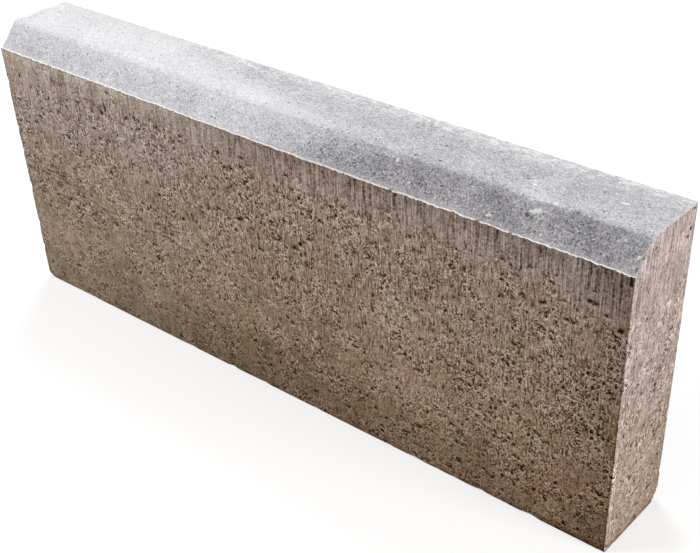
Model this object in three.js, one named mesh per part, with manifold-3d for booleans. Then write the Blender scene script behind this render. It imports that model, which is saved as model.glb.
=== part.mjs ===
// Concrete kerb stone, pressed in one piece from dry-mix concrete.
// Millimetres, +Z up. +X runs along the kerb, +Y from the exposed front face to the back,
// and the origin is the middle of the flat underside.
//
// The body is where two forms meet, as in the press. The mould box gives the plan: four
// upright walls with small corner radii. The tamper head gives the section: a flat top, a
// knee that rolls over into the chamfer, and a narrow ledge at the chamfer's foot, where the
// head stops just short of the mould wall. Two bottom corners have since broken off.

import * as THREE from "three";
import { ConvexGeometry } from "three/addons/geometries/ConvexGeometry.js";
import { mergeVertices, toCreasedNormals } from "three/addons/utils/BufferGeometryUtils.js";
import Module from "manifold-3d";

// ---- Driving dimensions ----

const LENGTH = 500; // butt end to butt end
const HEIGHT = 200; // underside to top
const THICKNESS = 60; // front face to back face

const CHAMFER_RISE = 16; // from the front arris up to the level of the top
const CHAMFER_RUN = 16; // from the front face back to the chamfer's upper line
const KNEE_RADIUS = 5.5; // the roll from the chamfer into the top
const LEDGE_WIDTH = 1.2; // flat strip between the front face and the chamfer's foot

const MOULD_CORNER_RADIUS = 1; // the four upright arrises
const BACK_ARRIS_RADIUS = 1; // top edge of the back face
const BED_ARRIS_RADIUS = 1.5; // lower edges of the front and back faces

// The break at the right end, at the foot of the back face.
const BACK_BREAK_ALONG = 5; // along the kerb
const BACK_BREAK_ACROSS = 6; // through the thickness
const BACK_BREAK_UP = 10;

// The break at the left end, at the foot of the front face.
const FRONT_BREAK_ALONG = 6.5;
const FRONT_BREAK_ACROSS = 2.5;
const FRONT_BREAK_UP = 4;

const BREAK_HOLLOW = 0.8; // how far a broken surface dips below a flat cut

// ---- Modelling limits ----

const ARC_STEPS = 4; // an arc gets twice this many facets
const CUT_PAST = 2; // how far a cutting body runs past the faces that it cuts
const MERGE_WITHIN = 1e-4; // vertices nearer than this are one vertex
const SMOOTH_UNDER = THREE.MathUtils.degToRad(20); // facets that turn less than this shade as one

const wasm = await Module();
wasm.setup();

// ---- Helpers ----

// A closed outline through counter-clockwise corners, each { at: [x, y], radius }.
function roundedOutline(corners) {
  const outline = new THREE.Shape();
  corners.forEach(({ at, radius = 0 }, i) => {
    const corner = new THREE.Vector2(...at);
    if (radius === 0) {
      if (i === 0) outline.moveTo(corner.x, corner.y);
      else outline.lineTo(corner.x, corner.y);
      return;
    }
    const before = new THREE.Vector2(...corners.at(i - 1).at);
    const after = new THREE.Vector2(...corners[(i + 1) % corners.length].at);
    const back = before.sub(corner).normalize();
    const on = after.sub(corner).normalize();
    const halfAngle = Math.acos(back.dot(on)) / 2;
    const setback = radius / Math.tan(halfAngle);
    const start = corner.clone().addScaledVector(back, setback);
    const end = corner.clone().addScaledVector(on, setback);
    const inward = back.clone().add(on).normalize();
    const centre = corner.clone().addScaledVector(inward, radius / Math.sin(halfAngle));
    const startAngle = start.clone().sub(centre).angle();
    const endAngle = end.clone().sub(centre).angle();
    if (i === 0) outline.moveTo(start.x, start.y);
    outline.absarc(centre.x, centre.y, radius, startAngle, endAngle, false);
  });
  outline.closePath();
  return outline;
}

// A closed three.js geometry as a solid that can be joined and cut.
function solidOf(geometry) {
  geometry.deleteAttribute("normal");
  geometry.deleteAttribute("uv");
  const merged = mergeVertices(geometry, MERGE_WITHIN);
  return new wasm.Manifold(
    new wasm.Mesh({
      numProp: 3,
      vertProperties: merged.attributes.position.array,
      triVerts: Uint32Array.from(merged.index.array),
    }),
  );
}

// The solid's surface as a three.js geometry with smooth rounds and crisp arrises.
function geometryOf(solid) {
  const { vertProperties, triVerts } = solid.getMesh();
  const geometry = new THREE.BufferGeometry();
  geometry.setAttribute("position", new THREE.BufferAttribute(vertProperties, 3));
  geometry.setIndex(new THREE.BufferAttribute(triVerts, 1));
  return toCreasedNormals(geometry, SMOOTH_UNDER);
}

// ---- The section that the tamper head leaves, in (Y, Z), drawn along the kerb ----

function pressedBar() {
  const front = -THICKNESS / 2;
  const back = THICKNESS / 2;
  const ledgeLevel = HEIGHT - CHAMFER_RISE;
  const section = roundedOutline([
    { at: [front, 0], radius: BED_ARRIS_RADIUS },
    { at: [back, 0], radius: BED_ARRIS_RADIUS },
    { at: [back, HEIGHT], radius: BACK_ARRIS_RADIUS },
    { at: [front + CHAMFER_RUN, HEIGHT], radius: KNEE_RADIUS },
    { at: [front + LEDGE_WIDTH, ledgeLevel] },
    { at: [front, ledgeLevel] },
  ]);
  const barLength = LENGTH + 2 * CUT_PAST;
  const bar = new THREE.ExtrudeGeometry(section, {
    depth: barLength,
    bevelEnabled: false,
    curveSegments: ARC_STEPS,
  });
  // The section's own axes become Y and Z, and its depth becomes X.
  const stand = new THREE.Matrix4().makeBasis(
    new THREE.Vector3(0, 1, 0),
    new THREE.Vector3(0, 0, 1),
    new THREE.Vector3(1, 0, 0),
  );
  bar.applyMatrix4(stand).translate(-barLength / 2, 0, 0);
  return solidOf(bar);
}

// ---- The plan that the mould box leaves, drawn upwards ----

function mouldedBlock() {
  const end = LENGTH / 2;
  const face = THICKNESS / 2;
  const plan = roundedOutline(
    [
      [-end, -face],
      [end, -face],
      [end, face],
      [-end, face],
    ].map((at) => ({ at, radius: MOULD_CORNER_RADIUS })),
  );
  const block = new THREE.ExtrudeGeometry(plan, {
    depth: HEIGHT + 2 * CUT_PAST,
    bevelEnabled: false,
    curveSegments: ARC_STEPS,
  });
  return solidOf(block.translate(0, 0, -CUT_PAST));
}

// ---- A broken corner ----

// The chip that left a corner. Its reach is measured from the corner along the three edges
// that met there, and inward holds the sign of each direction into the body. The chip runs
// past the faces and bellies a little into the body, so that the broken surface is hollow.
function chip(corner, inward, reach) {
  const edgeShare = CUT_PAST / reach.x + CUT_PAST / reach.y + CUT_PAST / reach.z;
  const past = (length) => length * (1 + edgeShare) - CUT_PAST;
  const outside = new THREE.Vector3().setScalar(-CUT_PAST);
  const deeper = new THREE.Vector3(1 / reach.x, 1 / reach.y, 1 / reach.z).normalize();
  const belly = reach.clone().divideScalar(3).addScaledVector(deeper, BREAK_HOLLOW);
  const points = [
    outside,
    outside.clone().setX(past(reach.x)),
    outside.clone().setY(past(reach.y)),
    outside.clone().setZ(past(reach.z)),
    belly,
  ];
  points.forEach((point) => point.multiply(inward).add(corner));
  return solidOf(new ConvexGeometry(points));
}

const backBreak = chip(
  new THREE.Vector3(LENGTH / 2, THICKNESS / 2, 0),
  new THREE.Vector3(-1, -1, 1),
  new THREE.Vector3(BACK_BREAK_ALONG, BACK_BREAK_ACROSS, BACK_BREAK_UP),
);
const frontBreak = chip(
  new THREE.Vector3(-LENGTH / 2, -THICKNESS / 2, 0),
  new THREE.Vector3(1, 1, 1),
  new THREE.Vector3(FRONT_BREAK_ALONG, FRONT_BREAK_ACROSS, FRONT_BREAK_UP),
);

// ---- The kerb stone ----

const body = pressedBar().intersect(mouldedBlock()).subtract(backBreak).subtract(frontBreak);

const concrete = new THREE.MeshStandardMaterial({
  color: 0x9a9088,
  roughness: 0.95,
  metalness: 0,
});

const kerbStone = new THREE.Mesh(geometryOf(body), concrete);
kerbStone.name = "kerb_stone";

const group = new THREE.Group();
group.add(kerbStone);

export default group;
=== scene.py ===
# %% [markdown]
# # A concrete kerb stone
#
# A kerb stone like this is pressed, not poured. A damp, stiff mix is shovelled into an open
# steel box, a heavy tamper shakes it down from above, and the box is lifted off at once. So
# the block has two kinds of skin: sides that the steel dragged over, with upright scratches
# and small torn holes, and a head that the tamper ironed flat and pale.
#
# The engineering model gives the frame: its size, its place and its name. This script never
# changes it. It builds one closed, sculpted casting around the same numbers.

import bmesh
import bpy
import math
import random
from mathutils import Matrix, Vector, kdtree, noise


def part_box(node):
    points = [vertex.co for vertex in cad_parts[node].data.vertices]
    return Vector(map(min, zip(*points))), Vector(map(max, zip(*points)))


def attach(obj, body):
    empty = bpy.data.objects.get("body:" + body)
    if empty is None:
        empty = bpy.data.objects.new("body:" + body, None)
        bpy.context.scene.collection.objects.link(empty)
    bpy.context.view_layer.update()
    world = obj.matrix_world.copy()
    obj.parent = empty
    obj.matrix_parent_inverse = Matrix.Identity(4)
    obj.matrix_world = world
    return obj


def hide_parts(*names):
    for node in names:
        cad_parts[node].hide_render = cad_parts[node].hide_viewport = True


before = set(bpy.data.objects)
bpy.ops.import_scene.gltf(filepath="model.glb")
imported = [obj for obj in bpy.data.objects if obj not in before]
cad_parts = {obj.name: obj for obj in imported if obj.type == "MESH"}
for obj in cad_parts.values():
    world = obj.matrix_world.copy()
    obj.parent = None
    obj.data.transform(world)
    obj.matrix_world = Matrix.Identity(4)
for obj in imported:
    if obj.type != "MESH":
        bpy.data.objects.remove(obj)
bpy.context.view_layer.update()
low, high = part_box("kerb_stone")
print("kerb stone, metres:", [round(side, 4) for side in high - low])

# %% [markdown]
# ## Driving dimensions
#
# The six planes of the block come from the frame. The rest are the sizes that the mould and
# the tamper leave, written once in millimetres and turned into metres by MM. HAIR is the
# small slack, a thousandth of a millimetre, within which two places count as the same.

# %% Name the planes and the small sizes
MM = 0.001
HAIR = 0.001 * MM
UP = Vector((0, 0, 1))
LEFT, FRONT, BED = low
RIGHT, BACK, TOP = high

CHAMFER_RISE = 16 * MM
CHAMFER_RUN = 16 * MM
LEDGE_WIDTH = 1.2 * MM
KNEE_RADIUS = 5.5 * MM
MOULD_CORNER = 1 * MM
ARRIS = 0.7 * MM
LEDGE_Z = TOP - CHAMFER_RISE
print("the ledge runs at", round(LEDGE_Z / MM, 1), "mm")

# %% [markdown]
# ## Camera
#
# A long lens looks down on the block from beyond its right-hand end. A camera in Blender
# looks along its own -Z axis, so the look direction becomes a rotation, and a small roll
# about that same axis is added last.

# %% Set the camera
CAMERA_AT = Vector((476.6, -486.7, 497.4)) * MM
LOOK_AT = Vector((70.8, -3.9, 33.9)) * MM
CAMERA_ROLL = math.radians(-1.665)
LENS_LENGTH = 62.58

camera_data = bpy.data.cameras.new("camera")
camera_data.lens = LENS_LENGTH
camera_data.sensor_width = 36
camera_data.shift_x = -0.0543
camera_data.shift_y = 0.135
camera_data.clip_start = 0.01
camera = bpy.data.objects.new("camera", camera_data)
bpy.context.scene.collection.objects.link(camera)
aim = (LOOK_AT - CAMERA_AT).to_track_quat("-Z", "Y").to_matrix().to_4x4()
camera.matrix_world = Matrix.Translation(CAMERA_AT) @ aim @ Matrix.Rotation(CAMERA_ROLL, 4, "Z")
bpy.context.scene.camera = camera
bpy.context.scene.view_settings.view_transform = "Standard"
print("camera is", round((LOOK_AT - CAMERA_AT).length, 3), "m from its target")

# %% [markdown]
# ## Node helpers
#
# A shader is a graph. Small helpers keep it readable: one adds a node, gives it its settings
# and plugs in its inputs, and the others do a sum, measure a length, ramp a value or blend two
# colours. An input may be a plain value or another node's output.


# %% Define the node helpers
def node(tree, kind, settings=None, **inputs):
    made = tree.nodes.new("ShaderNode" + kind)
    for name, value in (settings or {}).items():
        setattr(made, name, value)
    for name, value in inputs.items():
        plug(tree, made.inputs[name.replace("_", " ")], value)
    return made


def plug(tree, socket, value):
    if isinstance(value, bpy.types.NodeSocket):
        tree.links.new(value, socket)
    else:
        socket.default_value = value


def maths(tree, operation, *values):
    made = tree.nodes.new("ShaderNodeMath")
    made.operation = operation
    for socket, value in zip(made.inputs, values):
        plug(tree, socket, value)
    return made.outputs[0]


def vector_maths(tree, operation, *values):
    made = tree.nodes.new("ShaderNodeVectorMath")
    made.operation = operation
    for socket, value in zip(made.inputs, values):
        plug(tree, socket, value)
    return made.outputs[0]


def length_of(tree, vector):
    distance = node(tree, "VectorMath", {"operation": "LENGTH"}, Vector=vector)
    return distance.outputs["Value"]


def ramp_between(tree, value, start, end, first=0.0, last=1.0, smooth=True):
    made = node(tree, "MapRange")
    made.interpolation_type = "SMOOTHSTEP" if smooth else "LINEAR"
    for socket, each in zip(made.inputs, (value, start, end, first, last)):
        plug(tree, socket, each)
    return made.outputs[0]


def blend(tree, factor, under, over, mode="MIX"):
    made = tree.nodes.new("ShaderNodeMix")
    made.data_type = "RGBA"
    made.blend_type = mode
    for index, value in ((0, factor), (6, under), (7, over)):
        plug(tree, made.inputs[index], value)
    return made.outputs[2]


# %% [markdown]
# ## Floor and light
#
# The block stands on a plain pale floor that runs past every horizon. A little of the
# floor's paleness is added only for the camera and for reflections, so the floor reads as
# white without throwing more light on the block. Far off, where the lamps don't reach, more is
# added, so no horizon shows. The world is white in the same way.

# %% Lay the floor
FLOOR_RADIUS = 40
FLOOR_GREY = 0.55
FLOOR_LIFT = 0.63
FAR_LIFT = 0.9
LAMPS_REACH = 0.6
FAR_OFF = 3.0


def seen_directly(tree):
    path = node(tree, "LightPath").outputs
    seen = maths(tree, "MAXIMUM", path["Is Camera Ray"], path["Is Glossy Ray"])
    return maths(tree, "MAXIMUM", seen, path["Is Transmission Ray"])


def floor_material():
    material = bpy.data.materials.new("floor_white")
    material.use_nodes = True
    tree = material.node_tree
    tree.nodes.clear()
    matt = node(tree, "BsdfDiffuse", Color=(FLOOR_GREY, FLOOR_GREY, FLOOR_GREY, 1))
    distance = length_of(tree, node(tree, "TexCoord").outputs["Object"])
    lift = ramp_between(tree, distance, LAMPS_REACH, FAR_OFF, FLOOR_LIFT, FAR_LIFT)
    lift = maths(tree, "MULTIPLY", seen_directly(tree), lift)
    glow = node(tree, "Emission", Color=(1, 1, 1, 1), Strength=lift)
    both = node(tree, "AddShader")
    tree.links.new(matt.outputs[0], both.inputs[0])
    tree.links.new(glow.outputs[0], both.inputs[1])
    node(tree, "OutputMaterial", Surface=both.outputs[0])
    return material


bm = bmesh.new()
bmesh.ops.create_circle(bm, cap_ends=True, radius=FLOOR_RADIUS, segments=64)
floor_mesh = bpy.data.meshes.new("floor")
bm.to_mesh(floor_mesh)
bm.free()
floor = bpy.data.objects.new("floor", floor_mesh)
floor.location.z = BED
floor_mesh.materials.append(floor_material())
bpy.context.scene.collection.objects.link(floor)

# %% [markdown]
# ### World and lamps
#
# Three large round lamps stand far enough away to leave only soft shadows. A weak, even light
# from the world fills what they miss.

# %% Set the world and the lamps
WORLD_LIGHT = 0.16


def white_world():
    world = bpy.data.worlds.new("studio")
    world.use_nodes = True
    tree = world.node_tree
    tree.nodes.clear()
    strength = ramp_between(tree, seen_directly(tree), 0.0, 1.0, WORLD_LIGHT, 1.0, smooth=False)
    sky = node(tree, "Background", Color=(1, 1, 1, 1), Strength=strength)
    node(tree, "OutputWorld", Surface=sky.outputs[0])
    bpy.context.scene.world = world


def soft_lamp(name, place, size, power):
    data = bpy.data.lights.new(name, "AREA")
    data.shape = "DISK"
    data.size = size
    data.energy = power
    lamp = bpy.data.objects.new(name, data)
    lamp.location = place
    lamp.rotation_euler = (Vector((0, 0, 0.1)) - Vector(place)).to_track_quat("-Z", "Y").to_euler()
    bpy.context.scene.collection.objects.link(lamp)


white_world()
soft_lamp("top_lamp", (-0.55, 0.65, 1.35), size=0.6, power=8.6)
soft_lamp("front_lamp", (-0.6, -0.75, 1.35), size=0.5, power=9.4)
soft_lamp("end_lamp", (1.5, 0.1, 0.75), size=0.6, power=10.3)

# %% [markdown]
# ## The mould box
#
# The casting starts as the mould made it: a plan with four small round corners, drawn up to
# the full height. A cube with bevelled edges would give the same block, but a plan that is
# rounded first and extruded afterwards keeps the four uprights clean and the caps flat.


# %% Extrude the plan of the mould
def moulded_block():
    bm = bmesh.new()
    plan = [(LEFT, FRONT), (RIGHT, FRONT), (RIGHT, BACK), (LEFT, BACK)]
    corners = [bm.verts.new((x, y, BED)) for x, y in plan]
    bmesh.ops.contextual_create(bm, geom=corners)
    bmesh.ops.bevel(
        bm, geom=corners, offset=MOULD_CORNER, segments=4, profile=0.5, affect="VERTICES", material=-1
    )
    drawn = bmesh.ops.extrude_face_region(bm, geom=bm.faces[:])["geom"]
    upper = [item for item in drawn if isinstance(item, bmesh.types.BMVert)]
    bmesh.ops.translate(bm, verts=upper, vec=(0, 0, TOP - BED))
    bmesh.ops.recalc_face_normals(bm, faces=bm.faces)
    return bm


bm = moulded_block()
print("moulded block:", len(bm.faces), "faces")

# %% [markdown]
# ## The tamper head
#
# The head presses a chamfer along the front and stops just short of the steel, so a narrow
# ledge is left at the chamfer's foot. Two plane cuts find both lines, the corner above them
# is taken away, and the two openings are closed again with one face each.


# %% Cut the chamfer and its ledge
CUT_SLACK = 1e-7


def everything(bm):
    return bm.verts[:] + bm.edges[:] + bm.faces[:]


def press_chamfer(bm):
    foot = Vector((0, FRONT + LEDGE_WIDTH, LEDGE_Z))
    slope = Vector((0, CHAMFER_RUN - LEDGE_WIDTH, CHAMFER_RISE)).normalized()
    outward = Vector((0, -slope.z, slope.y))
    bmesh.ops.bisect_plane(bm, geom=everything(bm), plane_co=foot, plane_no=UP, dist=CUT_SLACK)
    above = [item for item in everything(bm) if middle_of(item).z > LEDGE_Z - HAIR]
    bmesh.ops.bisect_plane(bm, geom=above, plane_co=foot, plane_no=outward, dist=CUT_SLACK)
    waste = [face for face in bm.faces if is_waste(face.calc_center_median(), foot, outward)]
    bmesh.ops.delete(bm, geom=waste, context="FACES")
    foot_line = [v for v in bm.verts if v.is_boundary and (v.co - foot).yz.length < HAIR]
    bm.edges.new(foot_line)
    rim = [edge for edge in bm.edges if len(edge.link_faces) < 2]
    for lies_on in (on_ledge, on_slope):
        bmesh.ops.contextual_create(bm, geom=[edge for edge in rim if lies_on(edge, foot, outward)])
    bmesh.ops.recalc_face_normals(bm, faces=bm.faces)


def middle_of(item):
    if isinstance(item, bmesh.types.BMVert):
        return item.co
    return sum((v.co for v in item.verts), Vector()) / len(item.verts)


def is_waste(centre, foot, outward):
    return centre.z > LEDGE_Z + HAIR and (centre - foot).dot(outward) > HAIR


def on_ledge(edge, foot, outward):
    return all(abs(v.co.z - foot.z) < HAIR for v in edge.verts)


def on_slope(edge, foot, outward):
    return all(abs((v.co - foot).dot(outward)) < HAIR for v in edge.verts)


def report_on(stage):
    open_edges = sum(not edge.is_manifold for edge in bm.edges)
    print(stage + ":", len(bm.faces), "faces, open edges:", open_edges)


press_chamfer(bm)
report_on("with the chamfer")

# %% [markdown]
# ### Knee and arrises
#
# Where the chamfer meets the flat top, the head's own edge was rounded, so the stone has a
# soft knee there. Its radius is known, and a bevel wants a setback instead, so the one is
# worked out from the other. The remaining sharp edges get a small arris, apart from the lip.


# %% Roll the knee and ease the arrises
SHARP = math.radians(60)


def turn_of(edge):
    return edge.calc_face_angle(0)


def round_arrises(bm):
    knee = [e for e in bm.edges if is_knee(e)]
    setback = KNEE_RADIUS * math.tan(turn_of(knee[0]) / 2)
    bmesh.ops.bevel(
        bm, geom=knee, offset=setback, segments=6, profile=0.5, affect="EDGES", material=-1
    )
    sharp = [e for e in bm.edges if e.is_convex and turn_of(e) > SHARP]
    sharp = [e for e in sharp if not is_front_lip(e)]
    bmesh.ops.bevel(
        bm, geom=sharp, offset=ARRIS, segments=2, profile=0.5, affect="EDGES", material=-1
    )


def is_knee(edge):
    line = Vector((0, FRONT + CHAMFER_RUN, TOP))
    return all((v.co - line).yz.length < HAIR for v in edge.verts)


def is_front_lip(edge):
    return all(abs(v.co.z - LEDGE_Z) < HAIR for v in edge.verts)


round_arrises(bm)
report_on("rounded")

# %% [markdown]
# ## A grid to sculpt on
#
# Relief needs vertices. Each side is sliced by parallel planes into an even grid. One big
# subdivision of every face would waste most of them on the underside, which nobody sees.

# %% Slice the block
GRID = 2.25 * MM
BED_GRID = 10 * MM


def slice_across(bm, axis, start, end, step, keep):
    direction = Vector((0, 0, 0))
    direction[axis] = 1
    count = round((end - start) / step)
    for i in range(1, count):
        faces = [face for face in bm.faces if keep(face)]
        edges = {edge for face in faces for edge in face.edges}
        verts = {vert for face in faces for vert in face.verts}
        bmesh.ops.bisect_plane(
            bm,
            geom=list(verts) + list(edges) + faces,
            plane_co=direction * (start + (end - start) * i / count),
            plane_no=direction,
            dist=0.05 * MM,
        )


def is_bed(face):
    return face.calc_center_median().z < BED + HAIR


slice_across(bm, 2, BED, TOP, GRID, keep=lambda f: abs(f.normal.z) < 0.9)
slice_across(bm, 1, FRONT, BACK, GRID, keep=lambda f: not is_bed(f) and abs(f.normal.y) < 0.9)
slice_across(bm, 1, FRONT, BACK, BED_GRID, keep=is_bed)
print("before the long cuts:", len(bm.faces), "faces")


def runs_along(edge):
    length = abs(edge.verts[0].co.x - edge.verts[1].co.x)
    return length > 0.9 * (RIGHT - LEFT - 2 * MOULD_CORNER)


long_edges = [edge for edge in bm.edges if runs_along(edge)]
long_cuts = round((RIGHT - LEFT) / GRID)
bmesh.ops.subdivide_edges(bm, edges=long_edges, cuts=long_cuts, use_grid_fill=False)
report_on("sliced")

# %% [markdown]
# ## Tears
#
# When the box is lifted, the steel drags the damp skin upwards and tears it. Each tear is a
# small arch: a hollow that deepens slowly from above, then the sharp lit rim of the plate
# below it. A tear is written down as its side, its place and its size in millimetres.

# %% Describe the four dragged sides and a tear on them
SIDES = {
    "front": (Vector((0, FRONT, 0)), Vector((1, 0, 0))),
    "right": (Vector((RIGHT, 0, 0)), Vector((0, 1, 0))),
    "back": (Vector((0, BACK, 0)), Vector((-1, 0, 0))),
    "left": (Vector((LEFT, 0, 0)), Vector((0, -1, 0))),
}


def tear(side, along, height, width, reach, depth):
    origin, across = SIDES[side]
    return {
        "at": origin + across * along * MM + UP * height * MM,
        "across": across,
        "inward": UP.cross(across),
        "width": width * MM,
        "reach": reach * MM,
        "depth": depth * MM,
    }


def radius_of(mark):
    return 0.5 * max(mark["width"], 2 * mark["reach"])


# %% List the tears that catch the eye
# Each is how far along its side and up it, then how wide it is, how far it reaches and how deep.
FRONT_TEARS = [
    (-34, 156, 5.5, 3.0, 1.3),
    (-30, 158, 4.0, 3.0, 1.3),
    (-27.5, 157, 3.5, 2.5, 1.2),
    (-20, 161, 4.5, 2.5, 1.1),
    (-19, 168, 4.0, 2.0, 0.9),
    (-38, 165, 4.0, 3.0, 0.8),
    (-14, 164, 3.5, 2.0, 0.9),
    (-12, 155, 3.0, 1.8, 0.8),
    (-24, 124, 5.0, 3.0, 1.2),
    (-17, 126, 6.0, 2.5, 1.0),
    (-40, 125, 6.0, 2.5, 0.8),
    (-53, 122, 4.0, 2.0, 0.9),
    (5, 145, 2.5, 2.2, 0.9),
    (5.5, 132, 2.8, 1.8, 0.8),
    (2, 137, 2.2, 1.6, 0.8),
    (4, 120, 4.5, 3.0, 0.9),
    (18, 167, 6.5, 2.0, 0.9),
    (26, 153, 3.0, 2.6, 1.0),
    (22, 160, 5.0, 2.0, 0.7),
    (10, 154, 2.5, 2.0, 0.8),
    (22, 119, 6.5, 4.0, 1.0),
    (72, 152, 4.0, 2.0, 0.8),
    (96, 170, 3.0, 2.0, 0.7),
    (110, 158, 4.5, 2.4, 0.9),
    (124, 147, 3.5, 2.0, 0.7),
    (173, 166, 4.2, 2.2, 1.0),
    (178, 164, 2.4, 3.0, 1.0),
    (159, 163.5, 4.0, 2.2, 0.8),
    (173, 154, 3.5, 2.0, 0.8),
    (199.5, 149.5, 4.6, 2.6, 1.4),
    (205, 158, 4.5, 2.0, 0.8),
    (213, 145, 5.0, 1.8, 0.9),
    (218, 144.5, 3.0, 1.8, 0.9),
    (211, 155.5, 5.5, 2.2, 0.8),
    (226, 160.5, 4.0, 3.4, 1.3),
    (230, 160, 3.4, 3.4, 1.3),
    (219, 153, 4.0, 4.0, 0.8),
    (237, 156, 7.0, 2.4, 0.9),
    (245, 150, 2.6, 3.6, 1.2),
    (206, 118, 6.5, 2.2, 0.9),
    (216, 113, 3.4, 2.6, 1.0),
    (228, 121, 3.0, 4.0, 0.9),
    (243, 110, 3.6, 3.4, 1.1),
    (182, 116, 4.6, 2.4, 1.0),
    (200, 62, 3.2, 2.4, 1.2),
    (214, 55, 3.0, 2.0, 0.9),
    (186, 70, 3.4, 2.0, 0.9),
    (141, 40, 6.0, 3.0, 1.2),
    (146, 36, 5.0, 2.6, 1.2),
    (137, 44, 4.0, 2.0, 0.9),
    (205, 20, 3.6, 2.2, 1.0),
    (165, 28, 4.0, 2.0, 0.8),
    (-140, 178, 4.0, 3.0, 1.0),
    (-196, 149, 4.6, 3.4, 1.1),
    (-219, 141, 5.0, 3.0, 1.0),
    (-159, 148, 3.6, 2.6, 0.9),
    (-119, 159, 3.6, 2.6, 1.0),
    (-104, 161, 4.6, 2.2, 0.9),
    (-97, 158, 4.0, 2.0, 0.8),
    (-231, 114, 2.8, 2.2, 1.0),
    (-155, 116, 6.0, 2.2, 0.8),
    (-96, 124, 7.0, 2.4, 0.8),
    (-242, 96, 2.6, 2.4, 0.8),
    (-202, 80, 9.0, 2.0, 0.7),
    (-168, 74, 5.0, 2.0, 0.8),
    (-107, 71, 4.6, 2.4, 1.0),
    (-110, 67, 4.0, 2.0, 0.8),
    (-132, 40, 4.0, 3.0, 0.9),
    (-90, 33, 5.0, 2.4, 0.8),
    (-60, 88, 4.0, 2.0, 0.7),
    (30, 96, 4.0, 2.4, 0.8),
    (64, 108, 5.0, 2.4, 0.8),
    (88, 74, 4.0, 2.0, 0.8),
    (118, 92, 4.4, 2.2, 0.8),
    (52, 60, 4.0, 2.0, 0.8),
    (-8, 72, 4.6, 2.2, 0.7),
    (247.8, 179, 1.6, 6.0, 0.8),
    (113, 2.8, 4.4, 2.6, 0.9),
    (121.5, 2.4, 3.2, 2.2, 0.8),
]
END_TEARS = [
    (16, 17, 4.4, 2.6, 1.6),
    (7, 97, 3.2, 2.2, 1.1),
    (-12, 150, 2.6, 2.0, 0.8),
    (14, 132, 3.0, 2.2, 0.8),
    (-6, 118, 3.4, 2.0, 0.8),
    (-18, 86, 3.0, 2.2, 0.9),
    (20, 60, 3.2, 2.0, 0.8),
    (-10, 42, 3.6, 2.4, 0.8),
    (25, 186, 2.4, 2.0, 1.2),
    (22.5, 182, 2.0, 1.6, 0.9),
    (27, 172, 2.0, 1.8, 0.9),
]
tears = [tear("front", *numbers) for numbers in FRONT_TEARS]
tears += [tear("right", *numbers) for numbers in END_TEARS]
print("placed by hand:", len(tears), "tears")

# %% [markdown]
# ### The rest of the tears
#
# Hundreds of smaller ones fill the sides. They are thrown by seeded dice, so each run gives
# the same stone. A slow noise makes them crowd in some places and stay out of others, and the
# front has extra ones in a row at the foot of the band that the tamper packed hardest.


# %% Scatter the small tears
def scatter_tears(side, seed, count, span, heights, widths, depths):
    dice = random.Random(seed)
    thrown = []
    while len(thrown) < count:
        along = dice.uniform(-span, span)
        height = dice.uniform(*heights)
        crowd = 0.5 + 0.9 * noise.noise(Vector((along / 22, height / 13, seed)))
        if dice.random() > crowd:
            continue
        width = dice.triangular(widths[0], widths[1], widths[0])
        reach = width * dice.uniform(0.4, 0.75)
        thrown.append(tear(side, along, height, width, reach, dice.uniform(*depths)))
    return thrown


HALF_LENGTH = (RIGHT - LEFT) / 2 / MM
HALF_THICKNESS = (BACK - FRONT) / 2 / MM
FREE_MARGIN = 4
LONG_SPAN = HALF_LENGTH - FREE_MARGIN
END_SPAN = HALF_THICKNESS - FREE_MARGIN
# Each batch is its side, seed, number and span, then its heights, widths and depths, from and to.
BATCHES = [
    ("front", 3, 70, LONG_SPAN, (148, 170), (1.8, 5), (0.4, 0.9)),
    ("front", 5, 150, LONG_SPAN, (8, 150), (1.8, 4.6), (0.4, 0.8)),
    ("right", 7, 24, END_SPAN, (8, 170), (1.8, 4), (0.4, 0.8)),
    ("left", 11, 24, END_SPAN, (8, 170), (1.8, 4), (0.4, 0.8)),
    ("back", 13, 150, LONG_SPAN, (8, 186), (2, 6), (0.4, 1.1)),
]
for batch in BATCHES:
    tears += scatter_tears(*batch)
print("tears in all:", len(tears))

# %% [markdown]
# ## Finer mesh where it is needed
#
# A tear three millimetres wide can't be cut into a grid of more than two. The edges around
# each tear are split once. Those close to a tear on the front or the right end are split once
# more, and so are the edges along the front arrises. Everywhere else the grid stays as it is,
# and the casting stays light.


# %% Split the edges near the tears and the arrises
def edges_near_tears(bm, marks, margin):
    bm.edges.ensure_lookup_table()
    edge_tree = kdtree.KDTree(len(bm.edges))
    for index, edge in enumerate(bm.edges):
        edge_tree.insert((edge.verts[0].co + edge.verts[1].co) / 2, index)
    edge_tree.balance()
    chosen = set()
    for mark in marks:
        for place, index, distance in edge_tree.find_range(mark["at"], radius_of(mark) + margin):
            away = place - mark["at"]
            sideways = abs(away.dot(mark["across"])) < mark["width"] / 2 + margin
            if sideways and -mark["reach"] / 2 - margin < away.z < mark["reach"] + margin:
                chosen.add(bm.edges[index])
    return list(chosen)


def edges_on_front_arrises(bm, reach):
    def near(edge):
        middle = (edge.verts[0].co + edge.verts[1].co) / 2
        by_lip = abs(middle.z - LEDGE_Z) < reach and middle.y < FRONT + reach
        by_end = RIGHT - abs(middle.x) < reach and middle.y < FRONT + reach
        return by_lip or by_end

    return [edge for edge in bm.edges if near(edge) and edge.calc_length() > 0.5 * MM]


def is_by_lip(edge):
    return all(abs(v.co.z - LEDGE_Z) < 1.5 * MM for v in edge.verts)


def split(bm, edges):
    bmesh.ops.subdivide_edges(bm, edges=edges, cuts=1, use_grid_fill=True)


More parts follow.
